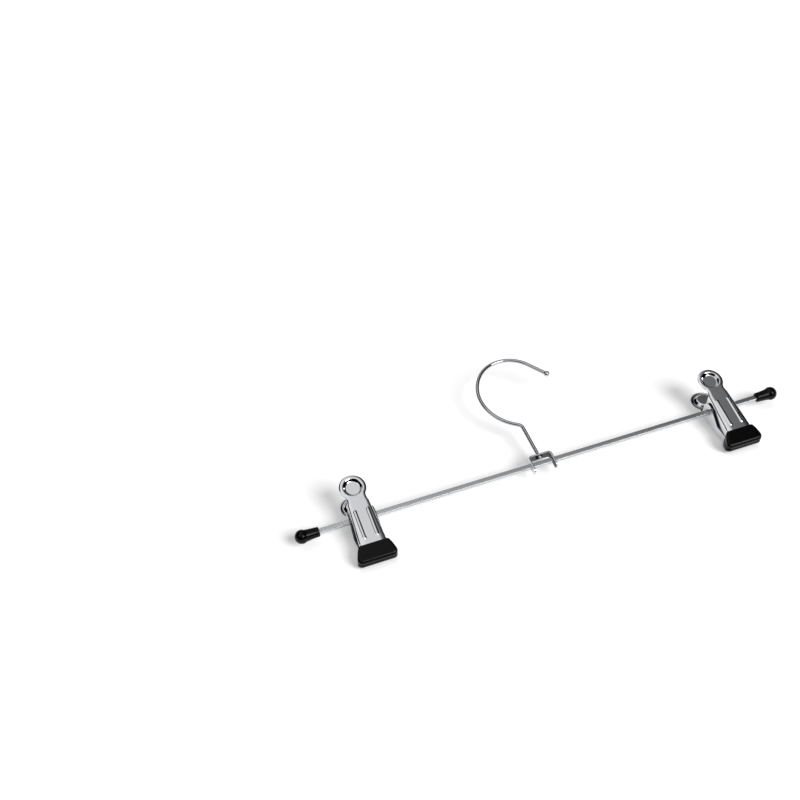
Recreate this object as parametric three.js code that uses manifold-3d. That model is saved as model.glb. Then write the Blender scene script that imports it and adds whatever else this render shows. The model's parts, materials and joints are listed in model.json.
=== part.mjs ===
// Clip trouser hanger: a flat cross bar with two sliding spring clips and a swivel wire hook.
// Millimetres. X runs along the bar, Y from the clip tips toward the hook, +Z up.
// The hanger lies on a table as it comes to rest: on its rear thumb tabs and its rear grips.
import * as THREE from 'three';
import { mergeVertices } from 'three/addons/utils/BufferGeometryUtils.js';
import Module from 'manifold-3d';

const wasm = await Module();
wasm.setup();

// Fits shared by all pieces
const seatGap = 0.3;
const cutOverrun = 2;
const roundSegments = 24;
const wireSides = 10;

// Cross bar and its end caps
const overallLength = 310;
const barWidth = 3;
const barThickness = 2;
const barEdgeChamfer = 0.3;
const capLength = 14.2;
const capMouthDiameter = 5.8;
const capNeckDiameter = 7;
const capBallDiameter = 8.2;
const capLipRadius = 0.3;
const capSocketDepth = 9;

// Bracket that carries the hook
const bracketOffCentre = -3.2;
const bracketWidth = 15;
const bracketDepth = 4.8;
const bracketSheet = 1;
const bracketCornerRadius = 2;
const bracketBridgeY = 5.6;
const bracketLegReach = 5.6;

// Swivel hook
const hookWireDiameter = 2.4;
const hookRivetDiameter = 4.4;
const hookRivetHeight = 1.6;
const hookRivetEdge = 0.5;
const hookShoulderDiameter = 3.8;
const hookShoulderHeight = 1.1;
const hookShankTopY = 27.9;
const hookBendRadius = 4;
const hookBendAngle = 59;
const hookMainRadius = 28.6;
const hookMainSweep = 104;
const hookCrownRadius = 20.4;
const hookCrownSweep = 99;
const hookEndLength = 13.7;
const hookBallDiameter = 3.8;

// Clip jaws, pressed from sheet; heights are measured from the middle plane of the clip
const clipInset = 39.5;
const jawSheet = 0.8;
const jawHeightAtBar = 8.5;
const jawSlope = 0.134;
const jawHalfWidthAtBar = 6.8;
const jawFlare = 0.058;
const jawCornerRadius = 2;
const jawNestGap = 0.35;
const jawSeamGap = 0.5;
const earRadius = 5.5;
const earSeamY = -12;
const kneeY = -19.8;
const tipSlope = 0.39;
const tipY = -28.5;
const tipHalfWidth = 10.3;
const tipShoulderY = -25.2;
const tipCornerRadius = 1.6;
const wallEndY = -21;
const pivotClearance = 0.45;

// Thumb tab with its pressed dish
const tabCentreY = 15.2;
const tabRadius = 7.8;
const tabArcStart = -42;
const neckY = 8.3;
const neckHalfWidth = 5.4;
const shoulderHalfWidth = 6.2;
const dishRadius = 5.7;
const dishFlatRadius = 4;
const dishDepth = 1.3;

// Long pressed ribs
const ribSpacing = 7.5;
const ribWidth = 2.2;
const ribTopY = 1;
const ribBottomY = -17.5;
const ribHeight = 0.4;

// Dipped grips on the jaw tips
const gripCoat = 0.75;
const gripMouthY = -20.3;
const gripMouthHalfWidth = 8.6;
const gripHalfWidth = 11.6;
const gripShoulderY = -25.4;
const gripEndY = -29.8;
const gripCornerRadius = 2.6;
const gripNoseRadius = 1.1;
const gripFaceGap = 0.3;
const gripMouthRelief = 0.5;

// Torsion spring round the bar
const springWire = 1.2;
const springMeanRadius = 3.2;
const springPitch = 1.75;
const springTurns = 5;
const springLegY = 9;
const curlSteps = 8;
const curlSides = 5;

const nickel = { color: 0xc9cbce, roughness: 0.18, metalness: 1 };
const satinSteel = { color: 0xa9abad, roughness: 0.34, metalness: 1 };
const springSteel = { color: 0x8f9194, roughness: 0.3, metalness: 1 };
const blackVinyl = { color: 0x0d0d0e, roughness: 0.42, metalness: 0 };

const degrees = THREE.MathUtils.degToRad;

// Solids and booleans

function solidFrom(geometry) {
  const bare = geometry.clone();
  bare.deleteAttribute('normal');
  bare.deleteAttribute('uv');
  const welded = mergeVertices(bare, 1e-4);
  return new wasm.Manifold(new wasm.Mesh({
    numProp: 3,
    vertProperties: new Float32Array(welded.attributes.position.array),
    triVerts: new Uint32Array(welded.index.array),
  }));
}

function geometryFrom(solid) {
  const mesh = solid.getMesh();
  const geometry = new THREE.BufferGeometry();
  geometry.setAttribute('position', new THREE.BufferAttribute(mesh.vertProperties, 3));
  geometry.setIndex(new THREE.BufferAttribute(mesh.triVerts, 1));
  geometry.computeVertexNormals();
  return geometry;
}

// Extrusions: a plan outline upward, a side outline (Y, Z) across X

function plate(outline, thickness, curveSegments = roundSegments / 2) {
  return new THREE.ExtrudeGeometry(outline, { depth: thickness, bevelEnabled: false, curveSegments });
}

const sideToWorld = new THREE.Matrix4().makeBasis(
  new THREE.Vector3(0, 1, 0),
  new THREE.Vector3(0, 0, 1),
  new THREE.Vector3(1, 0, 0),
);

function acrossX(outline, width, curveSegments = roundSegments / 2) {
  const geometry = plate(outline, width, curveSegments);
  geometry.translate(0, 0, -width / 2);
  return geometry.applyMatrix4(sideToWorld);
}

function chamferedRectangle(width, height, chamfer) {
  const w = width / 2;
  const h = height / 2;
  return new THREE.Shape([
    new THREE.Vector2(-w + chamfer, -h),
    new THREE.Vector2(w - chamfer, -h),
    new THREE.Vector2(w, -h + chamfer),
    new THREE.Vector2(w, h - chamfer),
    new THREE.Vector2(w - chamfer, h),
    new THREE.Vector2(-w + chamfer, h),
    new THREE.Vector2(-w, h - chamfer),
    new THREE.Vector2(-w, -h + chamfer),
  ]);
}

function barPassage(length) {
  const outline = chamferedRectangle(barWidth + 2 * seatGap, barThickness + 2 * seatGap, barEdgeChamfer);
  return solidFrom(acrossX(outline, length));
}

// Cross bar and end caps

function crossBar() {
  const length = overallLength - 2 * (capLength - capSocketDepth + seatGap);
  return acrossX(chamferedRectangle(barWidth, barThickness, barEdgeChamfer), length);
}

function endCap() {
  const ballRadius = capBallDiameter / 2;
  const ballCentre = capLength - ballRadius;
  const neckAngle = Math.PI - Math.asin(capNeckDiameter / capBallDiameter);
  const neckX = ballCentre + ballRadius * Math.cos(neckAngle);
  const profile = [
    new THREE.Vector2(0, 0),
    new THREE.Vector2(capMouthDiameter / 2 - capLipRadius, 0),
    new THREE.Vector2(capMouthDiameter / 2, capLipRadius),
    new THREE.Vector2(capNeckDiameter / 2, neckX),
  ];
  const arcSteps = roundSegments / 3;
  for (let step = 1; step <= arcSteps; step++) {
    const angle = neckAngle * (1 - step / arcSteps);
    const radius = step === arcSteps ? 0 : ballRadius * Math.sin(angle);
    profile.push(new THREE.Vector2(radius, ballCentre + ballRadius * Math.cos(angle)));
  }
  const body = new THREE.LatheGeometry(profile, roundSegments);
  body.rotateZ(-Math.PI / 2);
  const socket = barPassage(2 * capSocketDepth);
  return geometryFrom(solidFrom(body).subtract(socket));
}

// Hook bracket: a strip folded to a U, pierced for the bar and for the hook

function hookBracket() {
  const half = bracketWidth / 2;
  const top = bracketBridgeY;
  const end = -bracketLegReach;
  const outer = bracketCornerRadius;
  const inner = bracketCornerRadius - bracketSheet;
  const strip = new THREE.Shape();
  strip.moveTo(-half, end);
  strip.lineTo(-half + bracketSheet, end);
  strip.lineTo(-half + bracketSheet, top - outer);
  strip.absarc(-half + outer, top - outer, inner, Math.PI, Math.PI / 2, true);
  strip.lineTo(half - outer, top - bracketSheet);
  strip.absarc(half - outer, top - outer, inner, Math.PI / 2, 0, true);
  strip.lineTo(half - bracketSheet, end);
  strip.lineTo(half, end);
  strip.lineTo(half, top - outer);
  strip.absarc(half - outer, top - outer, outer, 0, Math.PI / 2, false);
  strip.lineTo(-half + outer, top);
  strip.absarc(-half + outer, top - outer, outer, Math.PI / 2, Math.PI, false);
  strip.closePath();
  const folded = plate(strip, bracketDepth, roundSegments / 4);
  folded.translate(0, 0, -bracketDepth / 2);

  const side = new THREE.Shape();
  side.moveTo(top + cutOverrun, bracketDepth / 2);
  side.lineTo(end + bracketDepth / 2, bracketDepth / 2);
  side.absarc(end + bracketDepth / 2, 0, bracketDepth / 2, Math.PI / 2, -Math.PI / 2, false);
  side.lineTo(top + cutOverrun, -bracketDepth / 2);
  side.closePath();

  const hole = new THREE.CylinderGeometry(
    hookWireDiameter / 2 + seatGap,
    hookWireDiameter / 2 + seatGap,
    bracketSheet + 2 * cutOverrun,
    roundSegments,
  );
  hole.translate(0, top - bracketSheet / 2, 0);
  const solid = solidFrom(folded)
    .intersect(solidFrom(acrossX(side, bracketWidth + 2 * cutOverrun)))
    .subtract(barPassage(bracketWidth + 2 * cutOverrun))
    .subtract(solidFrom(hole));
  return geometryFrom(solid);
}

// A wire path made of straights and arcs, each sampled with its own number of steps

class WirePath extends THREE.Curve {
  constructor() {
    super();
    this.pieces = [];
    this.totalSteps = 0;
  }

  addPiece(steps, pointAt) {
    this.pieces.push({ steps, pointAt, first: this.totalSteps });
    this.totalSteps += steps;
  }

  getUtoTmapping(u) {
    return u;
  }

  getPoint(t, target = new THREE.Vector3()) {
    const place = t * this.totalSteps;
    const piece = this.pieces.findLast((each) => each.first <= place) ?? this.pieces[0];
    return target.copy(piece.pointAt((place - piece.first) / piece.steps));
  }
}

function wireSolid(path, diameter, sides) {
  const section = new THREE.Shape(Array.from({ length: sides }, (_, side) => {
    const angle = 2 * Math.PI * side / sides;
    return new THREE.Vector2(Math.cos(angle), Math.sin(angle)).multiplyScalar(diameter / 2);
  }));
  return new THREE.ExtrudeGeometry(section, {
    steps: path.totalSteps,
    extrudePath: path,
    bevelEnabled: false,
  });
}

// A planar wire drawn like a pen stroke: it goes forward or turns along an arc

class PlanarWire extends WirePath {
  constructor(x, y, heading) {
    super();
    this.x = x;
    this.y = y;
    this.heading = heading;
  }

  forward(length, steps) {
    const { x, y, heading } = this;
    const reach = (share) => new THREE.Vector3(
      x + share * length * Math.cos(heading),
      y + share * length * Math.sin(heading),
      0,
    );
    this.addPiece(steps, reach);
    this.moveTo(reach(1), heading);
  }

  turn(radius, angle, steps) {
    const { x, y, heading } = this;
    const side = Math.sign(angle);
    const centreX = x - side * radius * Math.sin(heading);
    const centreY = y + side * radius * Math.cos(heading);
    const reach = (share) => new THREE.Vector3(
      centreX + side * radius * Math.sin(heading + share * angle),
      centreY - side * radius * Math.cos(heading + share * angle),
      0,
    );
    this.addPiece(steps, reach);
    this.moveTo(reach(1), heading + angle);
  }

  moveTo(point, heading) {
    this.x = point.x;
    this.y = point.y;
    this.heading = heading;
  }
}

// Hook: a riveted head inside the bracket, a shoulder outside it, the bent wire and its ball tip

function swivelHook() {
  const bridgeInner = bracketBridgeY - bracketSheet;
  const headTop = bridgeInner - seatGap;
  const shoulderBase = bracketBridgeY + seatGap;

  const wire = new PlanarWire(0, headTop - hookRivetHeight / 2, Math.PI / 2);
  wire.forward(hookShankTopY - headTop + hookRivetHeight / 2, 2);
  wire.turn(hookBendRadius, degrees(hookBendAngle), 6);
  wire.turn(hookMainRadius, -degrees(hookMainSweep), 18);
  wire.turn(hookCrownRadius, -degrees(hookCrownSweep), 16);
  wire.forward(hookEndLength, 1);

  const head = new THREE.LatheGeometry([
    new THREE.Vector2(0, headTop - hookRivetHeight),
    new THREE.Vector2(hookRivetDiameter / 2 - hookRivetEdge, headTop - hookRivetHeight),
    new THREE.Vector2(hookRivetDiameter / 2, headTop - hookRivetHeight + hookRivetEdge),
    new THREE.Vector2(hookRivetDiameter / 2, headTop),
    new THREE.Vector2(0, headTop),
  ], roundSegments / 2);
  const shoulder = new THREE.CylinderGeometry(
    hookWireDiameter / 2,
    hookShoulderDiameter / 2,
    hookShoulderHeight,
    roundSegments / 2,
  );
  shoulder.translate(0, shoulderBase + hookShoulderHeight / 2, 0);
  const ball = new THREE.SphereGeometry(hookBallDiameter / 2, roundSegments / 2, roundSegments / 2);
  ball.translate(wire.x, wire.y, 0);

  const solid = solidFrom(wireSolid(wire, hookWireDiameter, wireSides))
    .add(solidFrom(head))
    .add(solidFrom(shoulder))
    .add(solidFrom(ball));
  return geometryFrom(solid);
}

// Jaw surface: height of the outer face over the middle plane

function jawHeight(y) {
  if (y >= kneeY) {
    return jawHeightAtBar + jawSlope * y;
  }
  return jawHeightAtBar + jawSlope * kneeY + tipSlope * (y - kneeY);
}

function frontHalfWidth(y) {
  return jawHalfWidthAtBar - jawFlare * y;
}

// The rear jaw is wider where its ears pass outside those of the front jaw
function rearHalfWidth(y) {
  const spread = jawSheet + jawNestGap;
  const share = THREE.MathUtils.clamp((y - kneeY) / (earSeamY - kneeY), 0, 1);
  return frontHalfWidth(y) + spread * share;
}

function layOnJaw(geometry) {
  const position = geometry.attributes.position;
  for (let i = 0; i < position.count; i++) {
    position.setZ(i, position.getZ(i) + jawHeight(position.getY(i)));
  }
  return geometry;
}

// The tip beyond the knee is one plane, so its parts are laid on that plane alone
function layOnTip(geometry) {
  const position = geometry.attributes.position;
  for (let i = 0; i < position.count; i++) {
    position.setZ(i, position.getZ(i) + jawHeight(kneeY) + tipSlope * (position.getY(i) - kneeY));
  }
  return geometry;
}

// Channel section of a jaw: top plate, rounded corners and side walls, grown all round by grow

function channelSection(halfWidth, wallDepth, grow) {
  const outerX = halfWidth + grow;
  const innerX = halfWidth - jawSheet - grow;
  const topZ = grow;
  const underZ = -jawSheet - grow;
  const outerRadius = jawCornerRadius + grow;
  const innerRadius = jawCornerRadius - jawSheet - grow;
  const cornerX = halfWidth - jawCornerRadius;
  const cornerZ = -jawCornerRadius;
  const section = new THREE.Shape();
  section.moveTo(outerX, -wallDepth);
  section.lineTo(outerX, cornerZ);
  section.absarc(cornerX, cornerZ, outerRadius, 0, Math.PI / 2, false);
  section.lineTo(-cornerX, topZ);
  section.absarc(-cornerX, cornerZ, outerRadius, Math.PI / 2, Math.PI, false);
  section.lineTo(-outerX, -wallDepth);
  section.lineTo(-innerX, -wallDepth);
  section.lineTo(-innerX, cornerZ);
  section.absarc(-cornerX, cornerZ, innerRadius, Math.PI, Math.PI / 2, true);
  section.lineTo(cornerX, underZ);
  section.absarc(cornerX, cornerZ, innerRadius, Math.PI / 2, 0, true);
  section.lineTo(innerX, -wallDepth);
  section.closePath();
  return section;
}

// The section is extruded one unit per station, then each ring is moved to its station

function jawChannel(stations, halfWidthAt, grow) {
  const firstHalfWidth = halfWidthAt(stations[0]);
  const wallDepth = jawHeight(stations[0]) + earRadius + cutOverrun;
  const geometry = new THREE.ExtrudeGeometry(channelSection(firstHalfWidth, wallDepth, grow), {
    depth: stations.length - 1,
    steps: stations.length - 1,
    curveSegments: roundSegments / 8,
    bevelEnabled: false,
  });
  geometry.rotateX(Math.PI / 2);
  const position = geometry.attributes.position;
  for (let i = 0; i < position.count; i++) {
    const y = stations[Math.round(-position.getY(i))];
    const x = position.getX(i);
    position.setXYZ(
      i,
      x + Math.sign(x) * (halfWidthAt(y) - firstHalfWidth),
      y,
      position.getZ(i) + jawHeight(y),
    );
  }
  return solidFrom(geometry);
}

// Side outline of a jaw: a round ear at the bar, then a straight rise to the seam

function earOutline() {
  const seamZ = jawSeamGap / 2;
  const reach = Math.hypot(earSeamY, seamZ);
  const leave = Math.atan2(seamZ, earSeamY) + Math.acos(earRadius / reach);
  const high = jawHeight(earRadius) + cutOverrun;
  const low = gripEndY;
  const outline = new THREE.Shape();
  outline.moveTo(earRadius, high);
  outline.lineTo(low, high);
  outline.lineTo(low, seamZ);
  outline.lineTo(earSeamY, seamZ);
  outline.absarc(0, 0, earRadius, leave, 2 * Math.PI, false);
  outline.closePath();
  return outline;
}

// Plan outlines, each drawn for the right half and mirrored for the left

function mirroredOutline(drawRight) {
  const right = new THREE.Path();
  drawRight(right);
  const points = right.getPoints(roundSegments / 4);
  const left = points.map((point) => new THREE.Vector2(-point.x, point.y)).reverse();
  const distinct = [...points, ...left].filter((point, index, all) => {
    const next = all[(index + 1) % all.length];
    return point.distanceTo(next) > 1e-6;
  });
  return new THREE.Shape(distinct);
}

function thumbTabOutline() {
  return mirroredOutline((path) => {
    const start = degrees(tabArcStart);
    path.moveTo(shoulderHalfWidth, 0);
    path.lineTo(shoulderHalfWidth, earRadius - jawSheet);
    path.quadraticCurveTo(
      neckHalfWidth,
      neckY,
      tabRadius * Math.cos(start),
      tabCentreY + tabRadius * Math.sin(start),
    );
    path.absarc(0, tabCentreY, tabRadius, start, Math.PI / 2, false);
  });
}

function flaredOutline(mouthY, mouthHalf, shoulderY, half, endY, cornerRadius) {
  return mirroredOutline((path) => {
    path.moveTo(half - cornerRadius, endY);
    path.absarc(half - cornerRadius, endY + cornerRadius, cornerRadius, -Math.PI / 2, 0, false);
    path.quadraticCurveTo(
      half,
      shoulderY - cornerRadius / 2,
      (half + mouthHalf) / 2,
      (shoulderY + mouthY) / 2,
    );
    path.lineTo(mouthHalf, mouthY);
  });
}

// Tip plate inside the grip, grown all round by grow for the grip's pocket

function tipPlate(grow) {
  const outline = flaredOutline(
    kneeY + jawSheet,
    frontHalfWidth(kneeY) - jawCornerRadius / 2 + grow,
    tipShoulderY,
    tipHalfWidth + grow,
    tipY - grow,
    tipCornerRadius + grow,
  );
  const thickness = jawSheet + 2 * grow;
  const geometry = plate(outline, thickness);
  geometry.translate(0, 0, grow - thickness);
  return solidFrom(layOnTip(geometry));
}

// Pressed dish in the thumb tab: the cup that stands inward and the hollow that the thumb feels

const dishWallSlope = (dishRadius - dishFlatRadius) / dishDepth;

function dishProfile(radius, flatRadius, top, bottom) {
  return new THREE.LatheGeometry([
    new THREE.Vector2(0, bottom),
    new THREE.Vector2(flatRadius, bottom),
    new THREE.Vector2(radius, top),
    new THREE.Vector2(0, top),
  ], roundSegments);
}

function placeOnTab(geometry) {
  geometry.rotateX(Math.PI / 2);
  geometry.translate(0, tabCentreY, 0);
  return solidFrom(layOnJaw(geometry));
}

function dishCup() {
  const middle = -jawSheet / 2;
  const rimRadius = dishRadius - dishWallSlope * middle;
  return placeOnTab(dishProfile(rimRadius, dishFlatRadius - middle, middle, -dishDepth - jawSheet));
}

function dishHollow() {
  const mouthRadius = dishRadius + dishWallSlope * cutOverrun;
  return placeOnTab(dishProfile(mouthRadius, dishFlatRadius, cutOverrun, -dishDepth));
}

// Ribs: long round-ended ridges, hollow behind as pressed sheet is

function ribRidge(width, base, crown) {
  const radius = width / 2;
  const bevel = crown / 2;
  const outline = new THREE.Shape();
  outline.absarc(0, ribTopY - ribWidth / 2, radius, 0, Math.PI, false);
  outline.absarc(0, ribBottomY + ribWidth / 2, radius, Math.PI, 2 * Math.PI, false);
  outline.closePath();
  const geometry = new THREE.ExtrudeGeometry(outline, {
    depth: base + crown - 2 * bevel,
    bevelThickness: bevel,
    bevelSize: bevel,
    bevelOffset: -bevel,
    bevelSegments: 2,
    curveSegments: roundSegments / 8,
  });
  geometry.translate(0, 0, bevel - base);
  return geometry;
}

function bothRibs(width, base, crown, drop) {
  const place = (x) => {
    const geometry = ribRidge(width, base, crown);
    geometry.translate(x, 0, -drop);
    return solidFrom(layOnJaw(geometry));
  };
  return place(ribSpacing / 2).add(place(-ribSpacing / 2));
}

// One jaw, drawn as the front one; the rear one is the same sheet turned over

function jaw(halfWidthAt, barOpening) {
  const stations = [earRadius, ribTopY, earSeamY, kneeY, wallEndY];
  const side = acrossX(earOutline(), 2 * gripHalfWidth);
  const channel = jawChannel(stations, halfWidthAt, 0)
    .intersect(solidFrom(side))
    .subtract(barOpening);
  const tab = plate(thumbTabOutline(), jawSheet);
  tab.translate(0, 0, -jawSheet);
  return channel
    .add(solidFrom(layOnJaw(tab)))
    .add(tipPlate(0))
    .add(dishCup())
    .subtract(dishHollow())
    .add(bothRibs(ribWidth, jawSheet / 2, ribHeight, 0))
    .subtract(bothRibs(ribWidth - jawSheet, jawSheet, ribHeight, jawSheet));
}

function roundBarOpening() {
  const radius = Math.hypot(barWidth, barThickness) / 2 + pivotClearance;
  const opening = new THREE.CylinderGeometry(radius, radius, 2 * gripHalfWidth, roundSegments);
  opening.rotateZ(Math.PI / 2);
  return solidFrom(opening);
}

function turnedOver(solid) {
  return solid.rotate([0, 180, 0]);
}

// Grip: a block of dipped vinyl round the tip, flat where the two grips meet

function gripSideOutline() {
  const faceZ = gripFaceGap / 2;
  const mouthTop = jawHeight(gripMouthY) + gripCoat;
  const noseY = gripEndY + gripNoseRadius;
  const noseTop = jawHeight(noseY) + gripCoat;
  const slope = Math.atan(tipSlope);
  const outline = new THREE.Shape();
  outline.moveTo(gripMouthY, faceZ + gripMouthRelief);
  outline.lineTo(gripMouthY, mouthTop);
  outline.lineTo(noseY, noseTop);
  outline.absarc(noseY, noseTop - gripNoseRadius, gripNoseRadius, Math.PI / 2 + slope, Math.PI, false);
  outline.lineTo(gripEndY, faceZ + gripNoseRadius);
  outline.absarc(noseY, faceZ + gripNoseRadius, gripNoseRadius, Math.PI, 1.5 * Math.PI, false);
  outline.lineTo(gripShoulderY, faceZ);
  outline.closePath();
  return outline;
}

function grip(halfWidthAt) {
  const outline = flaredOutline(
    gripMouthY,
    gripMouthHalfWidth,
    gripShoulderY,
    gripHalfWidth,
    gripEndY,
    gripCornerRadius,
  );
  const height = jawHeight(gripMouthY) + gripCoat + cutOverrun;
  const block = solidFrom(plate(outline, height))
    .intersect(solidFrom(acrossX(gripSideOutline(), 2 * gripHalfWidth + cutOverrun)));
  const mouth = jawChannel([gripMouthY + jawSheet, wallEndY - seatGap], halfWidthAt, seatGap);
  return block.subtract(mouth).subtract(tipPlate(seatGap));
}

// Torsion spring: curls round the bar, each end running out to the back of its thumb tab

function torsionSpring() {
  const legZ = jawHeight(springLegY) - jawSheet - seatGap - springWire / 2 / Math.cos(Math.atan(jawSlope));
  const reach = Math.hypot(springLegY, legZ);
  const leave = Math.acos(springMeanRadius / reach) - Math.atan2(legZ, springLegY);
  const sweep = 2 * Math.PI * springTurns - 2 * leave;
  const length = springPitch * sweep / (2 * Math.PI);
  const curlPoint = (share) => new THREE.Vector3(
    length * (share - 0.5),
    springMeanRadius * Math.cos(leave + share * sweep),
    springMeanRadius * Math.sin(leave + share * sweep),
  );
  const rearEnd = new THREE.Vector3(-length / 2, springLegY, -legZ);
  const frontEnd = new THREE.Vector3(length / 2, springLegY, legZ);
  const path = new WirePath();
  path.addPiece(1, (share) => rearEnd.clone().lerp(curlPoint(0), share));
  path.addPiece(Math.round(curlSteps * sweep / (2 * Math.PI)), curlPoint);
  path.addPiece(1, (share) => curlPoint(1).lerp(frontEnd, share));
  reportSpringGap(path);
  return wireSolid(path, springWire, curlSides);
}

// Least distance between two curls, on points along the path a third of a curl or more apart

function reportSpringGap(path) {
  const perCurl = 4 * curlSteps;
  const count = springTurns * perCurl;
  const points = Array.from({ length: count + 1 }, (_, index) => path.getPoint(index / count));
  let least = Infinity;
  for (let i = 0; i < points.length; i++) {
    for (let j = i + Math.round(perCurl / 3); j < points.length; j++) {
      least = Math.min(least, points[i].distanceTo(points[j]));
    }
  }
  console.log(`spring: least gap to itself ${(least - springWire).toFixed(2)} mm`);
}

// Assembly in the hanger's own plane

function piece(name, geometry, finish) {
  const mesh = new THREE.Mesh(geometry, new THREE.MeshStandardMaterial(finish));
  mesh.name = name;
  return mesh;
}

const hanger = new THREE.Group();
hanger.add(piece('cross_bar', crossBar(), satinSteel));

const capGeometry = endCap();
const capMouthX = overallLength / 2 - capLength;
const rightCap = piece('right_end_cap', capGeometry, blackVinyl);
rightCap.position.x = capMouthX;
const leftCap = piece('left_end_cap', capGeometry, blackVinyl);
leftCap.position.x = -capMouthX;
leftCap.rotation.z = Math.PI;
hanger.add(leftCap, rightCap);

const hookGroup = new THREE.Group();
hookGroup.position.x = bracketOffCentre;
hookGroup.add(piece('hook_bracket', hookBracket(), nickel), piece('hook', swivelHook(), nickel));
hanger.add(hookGroup);

const clipGeometries = {
  front_jaw: geometryFrom(jaw(frontHalfWidth, roundBarOpening())),
  rear_jaw: geometryFrom(turnedOver(jaw(rearHalfWidth, barPassage(2 * gripHalfWidth)))),
  spring: torsionSpring(),
  front_grip: geometryFrom(grip(frontHalfWidth)),
  rear_grip: geometryFrom(turnedOver(grip(rearHalfWidth))),
};
const clipFinishes = {
  front_jaw: nickel,
  rear_jaw: nickel,
  spring: springSteel,
  front_grip: blackVinyl,
  rear_grip: blackVinyl,
};
const clipX = overallLength / 2 - clipInset;
for (const [side, x] of [['left', -clipX], ['right', clipX]]) {
  const clip = new THREE.Group();
  clip.position.x = x;
  for (const [name, geometry] of Object.entries(clipGeometries)) {
    clip.add(piece(`${side}_${name}`, geometry, clipFinishes[name]));
  }
  hanger.add(clip);
}

// At rest the rear tabs' ends and the rear grips' mouths touch the table, so the hanger leans a little

const tabEndY = tabCentreY + tabRadius;
const gripMouthHeight = jawHeight(gripMouthY) + gripCoat;
hanger.rotation.x = Math.atan2(jawHeight(tabEndY) - gripMouthHeight, tabEndY - gripMouthY);

// Origin: middle of the bounding box in plan, on the table

const root = new THREE.Group();
root.add(hanger);
root.updateMatrixWorld(true);
const box = new THREE.Box3().setFromObject(hanger, true);
const centre = box.getCenter(new THREE.Vector3());
hanger.position.set(-centre.x, -centre.y, -box.min.z);
root.updateMatrixWorld(true);

export default root;
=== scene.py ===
import json
import math

import bmesh
import bpy
import numpy as np
from mathutils import Matrix, Vector


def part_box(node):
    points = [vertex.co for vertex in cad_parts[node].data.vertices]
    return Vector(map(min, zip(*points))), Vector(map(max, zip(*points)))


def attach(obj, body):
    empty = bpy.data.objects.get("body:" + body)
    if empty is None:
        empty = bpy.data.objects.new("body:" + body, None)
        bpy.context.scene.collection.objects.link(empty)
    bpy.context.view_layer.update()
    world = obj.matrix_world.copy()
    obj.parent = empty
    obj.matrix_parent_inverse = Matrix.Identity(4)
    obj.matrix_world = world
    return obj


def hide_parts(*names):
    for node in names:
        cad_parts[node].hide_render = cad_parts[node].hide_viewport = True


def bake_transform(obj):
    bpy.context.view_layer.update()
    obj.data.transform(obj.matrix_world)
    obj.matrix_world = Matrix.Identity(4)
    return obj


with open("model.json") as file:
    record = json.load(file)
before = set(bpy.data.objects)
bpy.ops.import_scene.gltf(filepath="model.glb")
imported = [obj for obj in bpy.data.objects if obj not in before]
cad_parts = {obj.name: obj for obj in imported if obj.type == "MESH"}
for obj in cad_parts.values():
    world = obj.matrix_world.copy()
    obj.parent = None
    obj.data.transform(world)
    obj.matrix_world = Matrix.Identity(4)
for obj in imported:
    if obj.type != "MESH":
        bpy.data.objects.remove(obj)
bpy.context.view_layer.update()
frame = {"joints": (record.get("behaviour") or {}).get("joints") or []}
print("frame loaded")

# The hanger's own plane: X along the bar, Y toward the hook, Z toward the viewer, in mm.
# It leans on the table about the bar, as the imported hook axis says.
joints = {joint["name"]: joint for joint in frame["joints"]}
hookAxis = joints["hook_swivel"]["axis"]
lean = math.atan2(hookAxis[2], hookAxis[1])
barLow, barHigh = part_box("cross_bar")
barCentre = (barLow + barHigh) / 2


def placed(points):
    x, y, z = np.asarray(points, float).T / 1000
    across = y * math.cos(lean) - z * math.sin(lean)
    rise = y * math.sin(lean) + z * math.cos(lean)
    return np.stack([x + barCentre.x, across + barCentre.y, rise + barCentre.z], 1)


# Camera

camera = {
    "fromBar": (-0.213699, -0.396784, 0.482983),  # metres from the middle of the bar
    "right": (0.939006, -0.341022, -0.044406),
    "up": (0.266838, 0.641034, 0.719634),
    "lens": 50,
    "sensor": 36,
    "nearest": 0.01,
}


def addCamera():
    data = bpy.data.cameras.new("photoCamera")
    data.lens = camera["lens"]
    data.sensor_width = camera["sensor"]
    data.clip_start = camera["nearest"]
    eye = bpy.data.objects.new("photoCamera", data)
    right = Vector(camera["right"]).normalized()
    up = Vector(camera["up"])
    up = (up - up.dot(right) * right).normalized()
    turn = Matrix((right, up, right.cross(up))).transposed().to_4x4()
    eye.matrix_world = Matrix.Translation(Vector(camera["fromBar"]) + barCentre) @ turn
    bpy.context.scene.collection.objects.link(eye)
    bpy.context.scene.camera = eye


addCamera()
print("camera placed")

# Node trees


def addNode(tree, kind, inputs=None, **settings):
    node = tree.nodes.new(kind)
    for name, value in settings.items():
        setattr(node, name, value)
    for name, value in (inputs or {}).items():
        if isinstance(value, bpy.types.NodeSocket):
            tree.links.new(value, node.inputs[name])
        else:
            node.inputs[name].default_value = value
    return node


def linearColour(code):
    shares = [int(code[i:i + 2], 16) / 255 for i in (1, 3, 5)]
    return (*[s / 12.92 if s <= 0.04045 else ((s + 0.055) / 1.055) ** 2.4 for s in shares], 1)


def newMaterial(name):
    material = bpy.data.materials.new(name)
    material.use_nodes = True
    material.node_tree.nodes.clear()
    return material, material.node_tree


def perMetre(millimetres):
    return 1000 / millimetres


# Studio: a pale tent on a white table, with the dark gaps that give bright plating its black lines

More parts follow.
